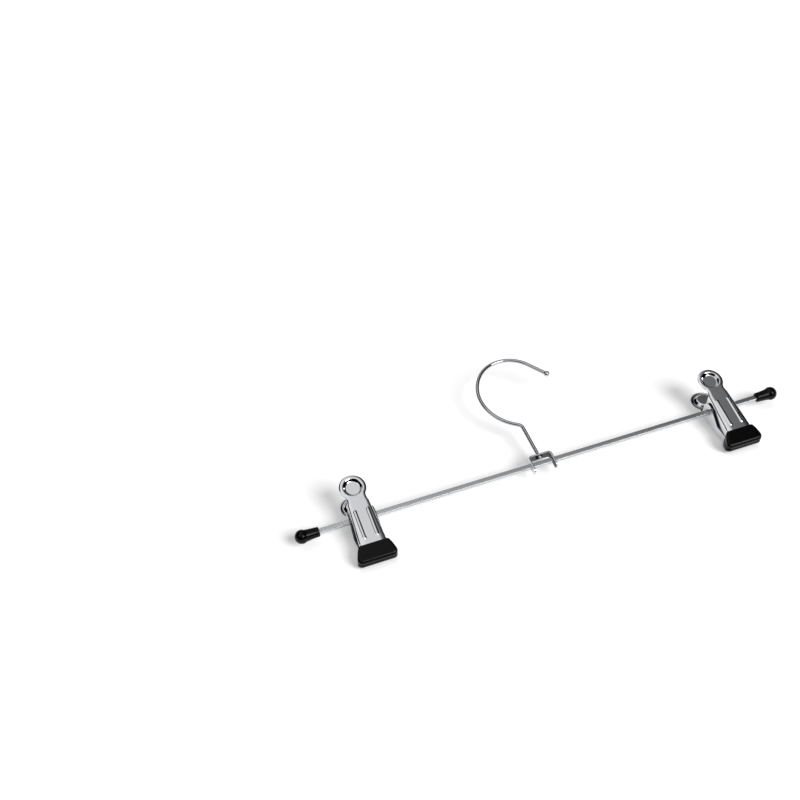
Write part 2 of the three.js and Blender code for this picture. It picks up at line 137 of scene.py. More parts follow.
studio = {
    "tent": 0.06,
    "background": 1.0,
    "patches": [  # direction, inner and outer half angle in degrees, level
        ((-0.94, 0.0, 0.34), 70, 107, 0.9),
        ((-0.50, -0.66, 0.56), 16, 28, 0.02),
        ((-0.57, 0.48, 0.66), 11, 21, 0.02),
    ],
    "gap": (0.52, 0.68, 0.0),  # dark gap above the table: sine where it starts to clear and ends, level
    "backPanel": ((0.25, 0.97, 0.2), 10, 24, 0.5),
    "keyFrom": (0.38, -0.64, 0.67),
    "keys": [  # name, angle, strength, shows in the plating
        ("softKey", 32, 1.45, False),
        ("wideKey", 30, 1.4, True),
    ],
    "floorSize": 9,
    "floorColour": "#f6f6f6",
    "floorGlow": 0.2,  # lifts the white table to paper white, where only firm shadows stay
}


def hangPanel(tree, place, level, direction, inner, outer, strength):
    towards = Vector(direction).normalized()
    facing = addNode(tree, "ShaderNodeVectorMath", {0: place, 1: towards}, operation="DOT_PRODUCT")
    mask = addNode(tree, "ShaderNodeMapRange", {
        "Value": facing.outputs["Value"],
        "From Min": math.cos(math.radians(outer)),
        "From Max": math.cos(math.radians(inner)),
    }, interpolation_type="SMOOTHSTEP")
    return addNode(tree, "ShaderNodeMix", {0: mask.outputs[0], 2: level, 3: strength}).outputs[0]


def lightStudio():
    world = bpy.data.worlds.new("studioTent")
    bpy.context.scene.world = world
    world.use_nodes = True
    tree = world.node_tree
    tree.nodes.clear()
    place = addNode(tree, "ShaderNodeTexCoord").outputs["Generated"]
    level = addNode(tree, "ShaderNodeValue")
    level.outputs[0].default_value = studio["tent"]
    level = level.outputs[0]
    for patch in studio["patches"]:
        level = hangPanel(tree, place, level, *patch)
    low, high, gapLevel = studio["gap"]
    height = addNode(tree, "ShaderNodeSeparateXYZ", {0: place}).outputs["Z"]
    above = addNode(tree, "ShaderNodeMapRange", {"Value": height, "From Min": low, "From Max": high},
                    interpolation_type="SMOOTHSTEP")
    level = addNode(tree, "ShaderNodeMix", {0: above.outputs[0], 2: gapLevel, 3: level}).outputs[0]
    level = hangPanel(tree, place, level, *studio["backPanel"])
    rays = addNode(tree, "ShaderNodeLightPath")
    seen = addNode(tree, "ShaderNodeMix", {
        0: rays.outputs["Is Camera Ray"], 2: level, 3: studio["background"],
    })
    light = addNode(tree, "ShaderNodeBackground", {"Color": (1, 1, 1, 1), "Strength": seen.outputs[0]})
    addNode(tree, "ShaderNodeOutputWorld", {"Surface": light.outputs[0]})

    for name, angle, strength, mirrored in studio["keys"]:
        lamp = bpy.data.lights.new(name, "SUN")
        lamp.angle = math.radians(angle)
        lamp.energy = strength
        key = bpy.data.objects.new(name, lamp)
        key.rotation_euler = Vector(studio["keyFrom"]).to_track_quat("Z", "Y").to_euler()
        key.visible_glossy = mirrored
        bpy.context.scene.collection.objects.link(key)


def paintFloor():
    material, tree = newMaterial("mattWhitePaper")
    shade = addNode(tree, "ShaderNodeBsdfDiffuse", {"Color": linearColour(studio["floorColour"])})
    rays = addNode(tree, "ShaderNodeLightPath").outputs
    seen = rays["Is Camera Ray"]
    for kind in ("Is Glossy Ray", "Is Transmission Ray"):
        seen = addNode(tree, "ShaderNodeMath", {0: seen, 1: rays[kind]}, operation="MAXIMUM").outputs[0]
    glow = addNode(tree, "ShaderNodeMath", {0: seen, 1: studio["floorGlow"]}, operation="MULTIPLY")
    white = addNode(tree, "ShaderNodeEmission", {"Strength": glow.outputs[0]})
    both = addNode(tree, "ShaderNodeAddShader", {0: shade.outputs[0], 1: white.outputs[0]})
    addNode(tree, "ShaderNodeOutputMaterial", {"Surface": both.outputs[0]})
    return material


def layFloor():
    half = studio["floorSize"] / 2
    mesh = bpy.data.meshes.new("floor")
    mesh.from_pydata([(-half, -half, 0), (half, -half, 0), (half, half, 0), (-half, half, 0)], [],
                     [(0, 1, 2, 3)])
    mesh.materials.append(paintFloor())
    floor = bpy.data.objects.new("floor", mesh)
    bpy.context.scene.collection.objects.link(floor)


bpy.context.scene.view_settings.view_transform = "Standard"
lightStudio()
layFloor()
print("studio lit")

# Materials

noises = {  # detail and roughness of each noise
    "haze": (4, 0.6),
    "wave": (2, 0.45),
    "grain": (3, 0.55),
}
noiseMiddle = (0.3, 0.7)  # the part of a noise's range that nearly all of its values are in
vinylLook = {"ior": 1.53, "specular": 0.14, "roughnessSpread": 0.1}


def noise(tree, place, size, kind):
    detail, roughness = noises[kind]
    return addNode(tree, "ShaderNodeTexNoise", {
        "Vector": place, "Scale": perMetre(size), "Detail": detail, "Roughness": roughness,
    }).outputs["Fac"]


def stretched(tree, value, low, high):
    return addNode(tree, "ShaderNodeMapRange", {
        "Value": value, "From Min": noiseMiddle[0], "From Max": noiseMiddle[1],
        "To Min": low, "To Max": high,
    }).outputs[0]


def bumped(tree, height, depth):
    return addNode(tree, "ShaderNodeBump", {
        "Height": height, "Strength": 1, "Distance": depth / 1000,
    }).outputs[0]


def metal(name, colour, roughness, hazeRoughness, hazeSize, waveSize, waveDepth, drawn=1.0):
    # sizes in mm; drawn stretches haze and waves along the bar
    material, tree = newMaterial(name)
    place = addNode(tree, "ShaderNodeTexCoord").outputs["Object"]
    place = addNode(tree, "ShaderNodeVectorMath", {0: place, 1: (1 / drawn, 1, 1)},
                    operation="MULTIPLY").outputs[0]
    shade = addNode(tree, "ShaderNodeBsdfPrincipled", {
        "Base Color": linearColour(colour), "Metallic": 1,
        "Roughness": stretched(tree, noise(tree, place, hazeSize, "haze"), roughness, hazeRoughness),
        "Normal": bumped(tree, noise(tree, place, waveSize, "wave"), waveDepth),
    })
    addNode(tree, "ShaderNodeOutputMaterial", {"Surface": shade.outputs[0]})
    return material


# Bright nickel-chrome plate on pressed sheet: mirror-like, with the faint waves of the pressing
brightPlate = metal("brightNickelPlate", "#e4e5e8", 0.05, 0.11, 5, 2.2, 0.0025)
# Dark metal for the sheet's rims and the bracket's inner side: painted shade, darker than the plate to give
# the black lines of shaded reflections there
paintedShadeEdge = metal("paintedShadeSheetEdge", "#505255", 0.3, 0.45, 0.8, 0.3, 0.004)
# Drawn wire of the hook: smoother than the sheet; its colour is set darker than the sheet's plate as painted
# shade, deepening the dark lines it reflects
wireWithPaintedShade = metal("nickelWireWithPaintedShade", "#c0c2c5", 0.03, 0.07, 5, 2.2, 0.002)
# Drawn flat bar, thinly plated: satin, so that its wide face stays an even grey
drawnBar = metal("satinDrawnSteel", "#c6c8ca", 0.22, 0.32, 3, 0.5, 0.001, drawn=40)
# Drawn spring wire: darker steel with a dull sheen
springWire = metal("drawnSpringSteel", "#8f9194", 0.24, 0.36, 1.5, 0.4, 0.002)


def vinyl(name, colour, roughness, grainSize, grainDepth):
    material, tree = newMaterial(name)
    place = addNode(tree, "ShaderNodeTexCoord").outputs["Object"]
    grain = noise(tree, place, grainSize, "grain")
    shade = addNode(tree, "ShaderNodeBsdfPrincipled", {
        "Base Color": linearColour(colour),
        "Roughness": stretched(tree, grain, roughness, roughness + vinylLook["roughnessSpread"]),
        "IOR": vinylLook["ior"], "Specular IOR Level": vinylLook["specular"],
        "Normal": bumped(tree, grain, grainDepth),
    })
    addNode(tree, "ShaderNodeOutputMaterial", {"Surface": shade.outputs[0]})
    return material


# Black plastisol dip: soft vinyl with a slight orange peel
dippedVinyl = vinyl("dippedBlackVinyl", "#020202", 0.1, 1.4, 0.012)
# Black injection-moulded vinyl: a finer, drier surface
mouldedVinyl = vinyl("mouldedBlackVinyl", "#020202", 0.14, 0.5, 0.006)
print("materials made")

# Meshes: points in mm in the hanger's plane

sheetBevel = {"segments": 2, "angle": 50}
cutterSides = 48


def meshPiece(name, points, faces, material, weld=0.0):
    mesh = bpy.data.meshes.new(name)
    mesh.from_pydata(placed(points).tolist(), [], [tuple(map(int, face)) for face in faces])
    if weld:
        shape = bmesh.new()
        shape.from_mesh(mesh)
        bmesh.ops.remove_doubles(shape, verts=shape.verts, dist=weld / 1000)
        shape.to_mesh(mesh)
        shape.free()
    mesh.materials.append(material)
    obj = bpy.data.objects.new(name, mesh)
    bpy.context.scene.collection.objects.link(obj)
    return obj


def gridFaces(rows, columns, first=0, closed=False):
    index = first + np.arange(rows * columns).reshape(rows, columns)
    if closed:
        index = np.concatenate([index, index[:, :1]], 1)
    return np.stack([index[:-1, :-1], index[:-1, 1:], index[1:, 1:], index[1:, :-1]], -1).reshape(-1, 4)


def recalculateNormals(piece):
    shape = bmesh.new()
    shape.from_mesh(piece.data)
    bmesh.ops.recalc_face_normals(shape, faces=shape.faces)
    shape.to_mesh(piece.data)
    shape.free()


def settle(obj, sharpAngle=38):
    # applies the modifiers and shades smooth up to the sharp angle
    depsgraph = bpy.context.evaluated_depsgraph_get()
    mesh = bpy.data.meshes.new_from_object(obj.evaluated_get(depsgraph))
    obj.modifiers.clear()
    obj.data = mesh
    mesh.polygons.foreach_set("use_smooth", [True] * len(mesh.polygons))
    mesh.set_sharp_from_angle(angle=math.radians(sharpAngle))
    mesh.update()
    return obj


def cut(obj, cutters):
    for cutter in cutters:
        modifier = obj.modifiers.new("opening", "BOOLEAN")
        modifier.operation = "DIFFERENCE"
        modifier.solver = "EXACT"
        modifier.object = cutter
    settle(obj)
    for cutter in cutters:
        bpy.data.objects.remove(cutter)


def thicken(obj, sheet, edge, paintedShadeInside=False):
    # the sheet grows inward; the dark edge metal paints shade on its rim, or on its inner side instead
    solid = obj.modifiers.new("sheet", "SOLIDIFY")
    solid.thickness = sheet / 1000
    solid.offset = -1
    solid.use_even_offset = True
    obj.data.materials.append(paintedShadeEdge)
    solid.material_offset = 1 if paintedShadeInside else 0
    solid.material_offset_rim = 0 if paintedShadeInside else 1
    bevel = obj.modifiers.new("edge", "BEVEL")
    bevel.width = edge / 1000
    bevel.segments = sheetBevel["segments"]
    bevel.limit_method = "ANGLE"
    bevel.angle_limit = math.radians(sheetBevel["angle"])


def boxCutter(halfX, halfY, halfZ, x=0.0):
    corners = [(x + i * halfX, j * halfY, k * halfZ) for i in (-1, 1) for j in (-1, 1) for k in (-1, 1)]
    faces = [(0, 1, 3, 2), (4, 6, 7, 5), (0, 4, 5, 1), (2, 3, 7, 6), (0, 2, 6, 4), (1, 5, 7, 3)]
    return meshPiece("cutter", corners, faces, brightPlate)


def lathe(profile, sides, axis):
    # profile: (distance along the axis, radius); both ends reach the axis
    profile = np.asarray(profile, float)
    turn = 2 * np.pi * np.arange(sides) / sides
    along = np.repeat(profile[1:-1, 0], sides)
    out = np.outer(profile[1:-1, 1], np.cos(turn)).ravel()
    side = np.outer(profile[1:-1, 1], np.sin(turn)).ravel()
    rings = np.stack([along, out, side], 1)
    points = np.concatenate([rings, [[profile[0, 0], 0, 0], [profile[-1, 0], 0, 0]]])
    faces = [list(face) for face in gridFaces(len(profile) - 2, sides, 0, True)]
    last = (len(profile) - 3) * sides
    for k in range(sides):
        n = (k + 1) % sides
        faces.append([len(points) - 2, n, k])
        faces.append([len(points) - 1, last + k, last + n])
    if axis == "y":
        points = points[:, [1, 0, 2]] * [-1, 1, 1]
    return points, faces


def roundCutter(radius, halfLength, axis, x=0.0, y=0.0):
    # known fault: these faces look inward; the front ears and the bridge stay uncut, and the right front jaw
    # keeps stray inner faces where its holes should be
    profile = [(-halfLength, 0), (-halfLength, radius), (halfLength, radius), (halfLength, 0)]
    points, faces = lathe(profile, cutterSides, axis)
    return meshPiece("cutter", points + [x, y, 0], [face[::-1] for face in faces], brightPlate)


def ease(share):
    share = np.clip(share, 0, 1)
    return share * share * (3 - 2 * share)


def finishPiece(piece, body, node):
    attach(piece, body)
    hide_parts(node)


# Flat cross bar

bar = {
    "length": 299.0, "width": 3.0, "thickness": 2.0, "edge": 0.25, "edgeSteps": 5,
    "endRing": 0.998,  # share of the half length where a ring holds the end face's shading
}


def makeBar():
    halfY, halfZ, edge = bar["width"] / 2, bar["thickness"] / 2, bar["edge"]
    loop = []
    for corner, (signY, signZ) in enumerate([(1, 1), (-1, 1), (-1, -1), (1, -1)]):
        for step in range(bar["edgeSteps"] + 1):
            angle = math.radians(90 * (corner + step / bar["edgeSteps"]))
            loop.append((signY * (halfY - edge) + edge * math.cos(angle),
                         signZ * (halfZ - edge) + edge * math.sin(angle)))
    loop = np.array(loop)
    ends = np.array([-1, -bar["endRing"], bar["endRing"], 1]) * bar["length"] / 2
    points = [np.column_stack([np.full(len(loop), x), loop]) for x in ends]
    faces = [list(face) for face in gridFaces(len(ends), len(loop), 0, True)]
    faces.append(list(range(len(loop)))[::-1])
    faces.append([len(loop) * (len(ends) - 1) + k for k in range(len(loop))])
    piece = meshPiece("crossBar", np.concatenate(points), faces, drawnBar)
    recalculateNormals(piece)
    finishPiece(settle(piece), "bar_assembly", "cross_bar")


makeBar()
print("bar made")

# End caps: a ball on a tapered sleeve that is pushed on the bar

cap = {
    "barEnd": 155.0, "length": 14.2, "mouth": 5.8, "neck": 7.0, "ball": 8.2,
    "lip": 0.45, "bore": 3.9, "boreDepth": 1.2, "boreEdge": 0.15, "waist": 0.0875,
    "sides": 72, "lipSteps": 6, "sleeveSteps": 12, "ballSteps": 28,
}


def makeCap(side):
    ballRadius = cap["ball"] / 2
    ballCentre = cap["length"] - ballRadius
    neckAngle = math.pi - math.asin(cap["neck"] / cap["ball"])
    neckX = ballCentre + ballRadius * math.cos(neckAngle)
    mouth, lip, bore, boreEdge = cap["mouth"] / 2, cap["lip"], cap["bore"] / 2, cap["boreEdge"]
    profile = [(cap["boreDepth"], 0), (cap["boreDepth"], bore), (boreEdge, bore), (0, bore + boreEdge)]
    for step in range(cap["lipSteps"] + 1):
        angle = math.radians(90 * step / cap["lipSteps"])
        profile.append((lip * (1 - math.cos(angle)), mouth - lip + lip * math.sin(angle)))
    for step in range(1, cap["sleeveSteps"]):
        share = step / cap["sleeveSteps"]
        radius = mouth + (cap["neck"] / 2 - mouth) * share - cap["waist"] * math.sin(math.pi * share)
        profile.append((lip + (neckX - lip) * share, radius))
    for step in range(cap["ballSteps"] + 1):
        angle = neckAngle * (1 - step / cap["ballSteps"])
        profile.append((ballCentre + ballRadius * math.cos(angle), ballRadius * math.sin(angle)))
    profile[-1] = (cap["length"], 0)
    points, faces = lathe(profile, cap["sides"], "x")
    points[:, 0] += cap["barEnd"] - cap["length"]
    points[:, 0] *= side
    name = "left" if side < 0 else "right"
    piece = meshPiece(name + "EndCap", points, faces, mouldedVinyl)
    recalculateNormals(piece)
    finishPiece(settle(piece), "bar_assembly", name + "_end_cap")


for side in (-1, 1):
    makeCap(side)
print("end caps made")

# Bracket: a strip folded to a U and pierced for the bar; its hole for the hook's shank fails, see roundCutter

bracket = {
    "centre": -3.2, "width": 15.0, "depth": 4.8, "sheet": 1.0, "corner": 2.0,
    "bridge": 5.6, "reach": 5.6, "gap": 0.3, "edge": 0.22, "shank": 2.4, "shankCut": 3.0,
    "columns": 12, "endSteps": 14, "straightSteps": 12, "bendStep": 9, "tipHalfWidth": 0.02,
}


def makeBracket():
    half, top, low = bracket["width"] / 2, bracket["bridge"], -bracket["reach"]
    corner, deep = bracket["corner"], bracket["depth"] / 2
    bend = bracket["bendStep"]
    path = [(-half, low + deep * (1 - math.cos(angle)))
            for angle in np.linspace(0, math.pi / 2, bracket["endSteps"] + 1)[:-1]]
    path += [(-half, y) for y in np.linspace(low + deep, top - corner, bracket["straightSteps"])]
    path += [(-half + corner * (1 - math.cos(a)), top - corner + corner * math.sin(a))
             for a in np.radians(np.arange(bend, 90, bend))]
    path += [(x, top) for x in np.linspace(-half + corner, 0, bracket["straightSteps"])]
    path = np.array(path + [(-x, y) for x, y in path[-2::-1]])
    columns = np.linspace(-1, 1, bracket["columns"] + 1)
    points = []
    for x, y in path:
        short = max(deep - (y - low), 0)  # of the straight part, inside the leg's round end
        width = max(math.sqrt(max(deep ** 2 - short ** 2, 0)), bracket["tipHalfWidth"])
        points += [(x + bracket["centre"], y, width * share) for share in columns]
    faces = gridFaces(len(path), len(columns))
    piece = meshPiece("hookBracket", points, faces, brightPlate)
    # its inner side takes the dark edge metal as painted shade, its rims stay bright
    thicken(piece, bracket["sheet"], bracket["edge"], paintedShadeInside=True)
    settle(piece)
    gap = bracket["gap"]
    cut(piece, [
        boxCutter(bracket["width"], bar["width"] / 2 + gap, bar["thickness"] / 2 + gap, bracket["centre"]),
        roundCutter(bracket["shank"] / 2 + gap, bracket["shankCut"], "y", bracket["centre"], top),
    ])
    finishPiece(piece, "bar_assembly", "hook_bracket")


makeBracket()
print("bracket made")

# Wires: Geometry Nodes sweep a round section along a line whose points carry their own radius


def wireTree():
    tree = bpy.data.node_groups.new("sweptWire", "GeometryNodeTree")
    face = tree.interface
    face.new_socket("Geometry", in_out="INPUT", socket_type="NodeSocketGeometry")
    face.new_socket("Wire radius", in_out="INPUT", socket_type="NodeSocketFloat")
    face.new_socket("Sides", in_out="INPUT", socket_type="NodeSocketInt")
    face.new_socket("Finish", in_out="INPUT", socket_type="NodeSocketMaterial")
    face.new_socket("Geometry", in_out="OUTPUT", socket_type="NodeSocketGeometry")
    given = addNode(tree, "NodeGroupInput").outputs
    line = addNode(tree, "GeometryNodeMeshToCurve", {"Mesh": given["Geometry"]})
    swell = addNode(tree, "GeometryNodeInputNamedAttribute", {"Name": "swell"}, data_type="FLOAT")
    section = addNode(tree, "GeometryNodeCurvePrimitiveCircle", {
        "Resolution": given["Sides"], "Radius": given["Wire radius"],
    })
    swept = addNode(tree, "GeometryNodeCurveToMesh", {
        "Curve": line.outputs[0], "Profile Curve": section.outputs[0],
        "Scale": swell.outputs["Attribute"], "Fill Caps": True,
    })
    smooth = addNode(tree, "GeometryNodeSetShadeSmooth", {"Geometry": swept.outputs[0]})
    real = addNode(tree, "GeometryNodeRealizeInstances", {"Geometry": smooth.outputs[0]})
    painted = addNode(tree, "GeometryNodeSetMaterial", {
        "Geometry": real.outputs[0], "Material": given["Finish"],
    })
    addNode(tree, "NodeGroupOutput", {"Geometry": painted.outputs[0]})
    return tree


sweptWire = wireTree()


def sweep(name, path, swell, diameter, sides, finish):
    line = bpy.data.meshes.new(name)
    line.from_pydata(placed(path).tolist(), [(k, k + 1) for k in range(len(path) - 1)], [])
    line.attributes.new("swell", "FLOAT", "POINT").data.foreach_set("value", np.asarray(swell, float))
    obj = bpy.data.objects.new(name, line)
    bpy.context.scene.collection.objects.link(obj)
    modifier = obj.modifiers.new("sweptWire", "NODES")
    modifier.node_group = sweptWire
    given = {"Wire radius": diameter / 2000, "Sides": sides, "Finish": finish}
    for socket in sweptWire.interface.items_tree:
        if socket.in_out == "INPUT" and socket.name in given:
            modifier[socket.identifier] = given[socket.name]
    return settle(obj)


# Swivel hook: rivet head inside the bracket, shoulder outside it, bent wire, ball tip

hook = {
    "wire": 2.4, "head": 4.4, "headHeight": 1.6, "headEdge": 0.5, "shoulder": 3.8, "shoulderHeight": 1.1,
    "gap": 0.3, "shankTop": 27.9, "bend": (4.0, 59), "main": (28.6, -104), "crown": (20.4, -99),
    "end": 13.7, "ball": 3.8, "sides": 32,
    "hairline": 0.01,  # along the axis, where the radius jumps
    "point": 0.05, "ballPoint": 0.02,  # radii that close the two ends
    "headChamfer": (0.08, 0.1), "shoulderChamfer": (0.12, 0.15), "taperFrom": 0.3, "taperSteps": 6,
    "headEdgeStep": 15, "shankSteps": 8, "arcStep": 2.5, "endSteps": 4, "ballSteps": 22,
}


def hookLine():
    wire, head, shoulder = hook["wire"] / 2, hook["head"] / 2, hook["shoulder"] / 2
    hairline, edge, edgeStep = hook["hairline"], hook["headEdge"], hook["headEdgeStep"]
    headTop = bracket["bridge"] - bracket["sheet"] - hook["gap"]
    low = headTop - hook["headHeight"]
    base = bracket["bridge"] + hook["gap"]
    top = base + hook["shoulderHeight"]
    line = [(low, hook["point"]), (low + hairline, head - edge)]
    for angle in np.radians(np.arange(edgeStep, 91, edgeStep)):
        line.append((low + hairline + edge * (1 - math.cos(angle)), head - edge * (1 - math.sin(angle))))
    rise, inward = hook["headChamfer"]
    line += [(headTop - rise, head), (headTop, head - inward), (headTop + hairline, wire)]
    rise, inward = hook["shoulderChamfer"]
    line += [(base - hairline, wire), (base, shoulder - inward), (base + rise, shoulder)]
    for share in np.linspace(hook["taperFrom"], 1, hook["taperSteps"]):
        line.append((base + share * (top - base), shoulder + (wire - shoulder) * ease(share)))
    x, y, heading = bracket["centre"], hook["shankTop"], math.pi / 2
    line += [(height, wire) for height in np.linspace(top, y, hook["shankSteps"] + 1)[1:]]
    points = [(x, height) for height, radius in line]
    radii = [radius for height, radius in line]
    for radius, degrees in (hook["bend"], hook["main"], hook["crown"]):
        side = math.copysign(1, degrees)
        centreX, centreY = x - side * radius * math.sin(heading), y + side * radius * math.cos(heading)
        steps = round(abs(degrees) / hook["arcStep"])
        for step in range(1, steps + 1):
            angle = heading + math.radians(degrees) * step / steps
            across, along = side * radius * math.sin(angle), side * radius * math.cos(angle)
            points.append((centreX + across, centreY - along))
            radii.append(wire)
        x, y = points[-1]
        heading += math.radians(degrees)
    ball, steps = hook["ball"] / 2, hook["endSteps"]
    foot = math.sqrt(ball ** 2 - wire ** 2)
    reaches = [((hook["end"] - foot) * step / steps, wire) for step in range(1, steps + 1)]
    for angle in np.linspace(math.atan2(wire, -foot), 0, hook["ballSteps"])[1:]:
        reaches.append((hook["end"] + ball * math.cos(angle), max(ball * math.sin(angle), hook["ballPoint"])))
    for reach, radius in reaches:
        points.append((x + reach * math.cos(heading), y + reach * math.sin(heading)))
        radii.append(radius)
    path = np.column_stack([np.array(points), np.zeros(len(points))])
    return path, np.array(radii) / wire


def makeHook():
    path, swell = hookLine()
    piece = sweep("swivelHook", path, swell, hook["wire"], hook["sides"], wireWithPaintedShade)
    finishPiece(piece, "swivel_hook", "hook")


makeHook()
print("hook made")

# Clips: pressed sheet jaws with dished thumb tabs and two ribs; y is 0 at the middle of the bar

jaw = {
    "places": {"left": -115.5, "right": 115.5},
    "sheet": 0.8, "edge": 0.16, "height": 8.5, "slope": 0.134, "halfWidth": 6.8, "flare": 0.058,
    "corner": 1.3, "shoulder": (4.4, 15, 1.6),  # where it begins, its tilt in degrees, how late it bends
    "rearSpread": 1.15, "seam": 0.25, "ear": 5.5, "seamStart": -12.0,
    "knee": -19.8, "kneeRound": 0.6, "tipSlope": 0.39, "wallEnd": -21.0,
    "frontHole": 4.5, "barGap": 0.3, "cutReach": 14, "weld": 0.002,
    "earArc": 117, "earStep": 3, "rows": 64,
    "columns": {"middle": 8, "rib": 19, "outer": 8, "corner": 11, "wall": 13, "shared": 5},
}
tip = {
    "end": -28.5, "half": 10.3, "rows": 10, "spreadBy": 0.6, "flatBy": 0.3,
    "round": 1.6, "roundFrom": 0.8, "roundDepth": 0.9,
}
tab = {
    "centre": 15.2, "radius": 7.8, "arcStart": -42, "neck": (5.35, 8.0), "neckRows": 25,
    "dishEdge": 5.85, "dishFloor": 3.9, "dishDepth": 1.3, "roll": 1.5, "rollAngle": 38,
    "steps": 132, "rimRings": 14, "dishRings": 18, "floorRings": [3.4, 2.7, 1.9, 1.1, 0.4],
    "sideSteps": 60, "arcSteps": 300,
}
rib = {"apart": 7.5, "top": -0.1, "bottom": -16.4, "crown": 0.4, "half": 1.05}


def jawHeight(y):
    y = np.asarray(y, float)
    past = jaw["knee"] - y
    half = jaw["kneeRound"]
    extra = jaw["tipSlope"] - jaw["slope"]
    drop = np.where(past > half, past, np.where(past > -half, (past + half) ** 2 / (4 * half), 0))
    return jaw["height"] + jaw["slope"] * y - extra * drop


def jawHalfWidth(y, spread):
    share = np.clip((y - jaw["knee"]) / (jaw["seamStart"] - jaw["knee"]), 0, 1)
    return jaw["halfWidth"] - jaw["flare"] * y + spread * share


def ribHeight(x, y):
    away = np.maximum(np.maximum(y - rib["top"], rib["bottom"] - y), 0)
    distance = np.hypot(np.abs(x) - rib["apart"] / 2, away)
    radius = (rib["half"] ** 2 + rib["crown"] ** 2) / (2 * rib["crown"])
    return np.sqrt(radius ** 2 - np.minimum(distance, rib["half"]) ** 2) - radius + rib["crown"]


def dishSink(x, y):
    radius = np.hypot(x, y - tab["centre"])
    return tab["dishDepth"] * ease((tab["dishEdge"] - radius) / (tab["dishEdge"] - tab["dishFloor"]))


def rimRoll(x, y, outline):
    # the rim curls down toward the sheet's edge
    away = np.hypot(x[:, None] - outline[:, 0], y[:, None] - outline[:, 1]).min(1)
    radius = tab["roll"] / math.sin(math.radians(tab["rollAngle"]))
    return radius - np.sqrt(radius ** 2 - np.clip(tab["roll"] - away, 0, tab["roll"]) ** 2)


def earEnd(y):
    reach = math.hypot(jaw["seamStart"], jaw["seam"])
    leave = math.atan2(jaw["seam"], jaw["seamStart"]) + math.acos(jaw["ear"] / reach)
    leaveY, leaveZ = jaw["ear"] * math.cos(leave), jaw["ear"] * math.sin(leave)
    if y >= leaveY:
        return -math.sqrt(max(jaw["ear"] ** 2 - y * y, 0))
    share = min((leaveY - y) / (leaveY - jaw["seamStart"]), 1)
    return leaveZ + (jaw["seam"] - leaveZ) * share


def crossSection(y, spread):
    # x, z and the drop below the flat, from the middle of the plate to the foot of one wall, and how many
    # of these points the neck and the tip share
    half = float(jawHalfWidth(y, spread))
    begin, degrees, power = jaw["shoulder"]
    tilt, columns = math.radians(degrees), jaw["columns"]
    cornerStart = half - jaw["corner"] * (1 - math.sin(tilt))
    foot = (rib["apart"] / 2 - rib["half"], rib["apart"] / 2 + rib["half"])
    flat = np.concatenate([
        np.linspace(0, foot[0], columns["middle"]), np.linspace(*foot, columns["rib"])[1:],
        np.linspace(foot[1], cornerStart, columns["outer"])[1:]])
    away = np.maximum(flat - begin, 0)
    turn = tilt + (math.pi / 2 - tilt) * np.linspace(0, 1, columns["corner"])[1:]
    x = np.concatenate([flat, cornerStart + jaw["corner"] * (np.sin(turn) - math.sin(tilt))])
    sag = math.tan(tilt) * away ** power / (power * (cornerStart - begin) ** (power - 1))
    drop = np.concatenate([sag, sag[-1] + jaw["corner"] * (math.cos(tilt) - np.cos(turn))])
    low = jawHeight(y) - drop[-1]
    wall = low + (earEnd(y) - low) * np.linspace(0, 1, columns["wall"])[1:]
    z = np.concatenate([jawHeight(y) - drop + ribHeight(x, y), wall])
    x = np.concatenate([x, np.full(len(wall), half)])
    drop = np.concatenate([drop, np.full(len(wall), drop[-1])])
    return x, z, drop, len(flat) + columns["shared"]


def mirrored(half, sign=1):
    return np.concatenate([sign * half[:0:-1], half])


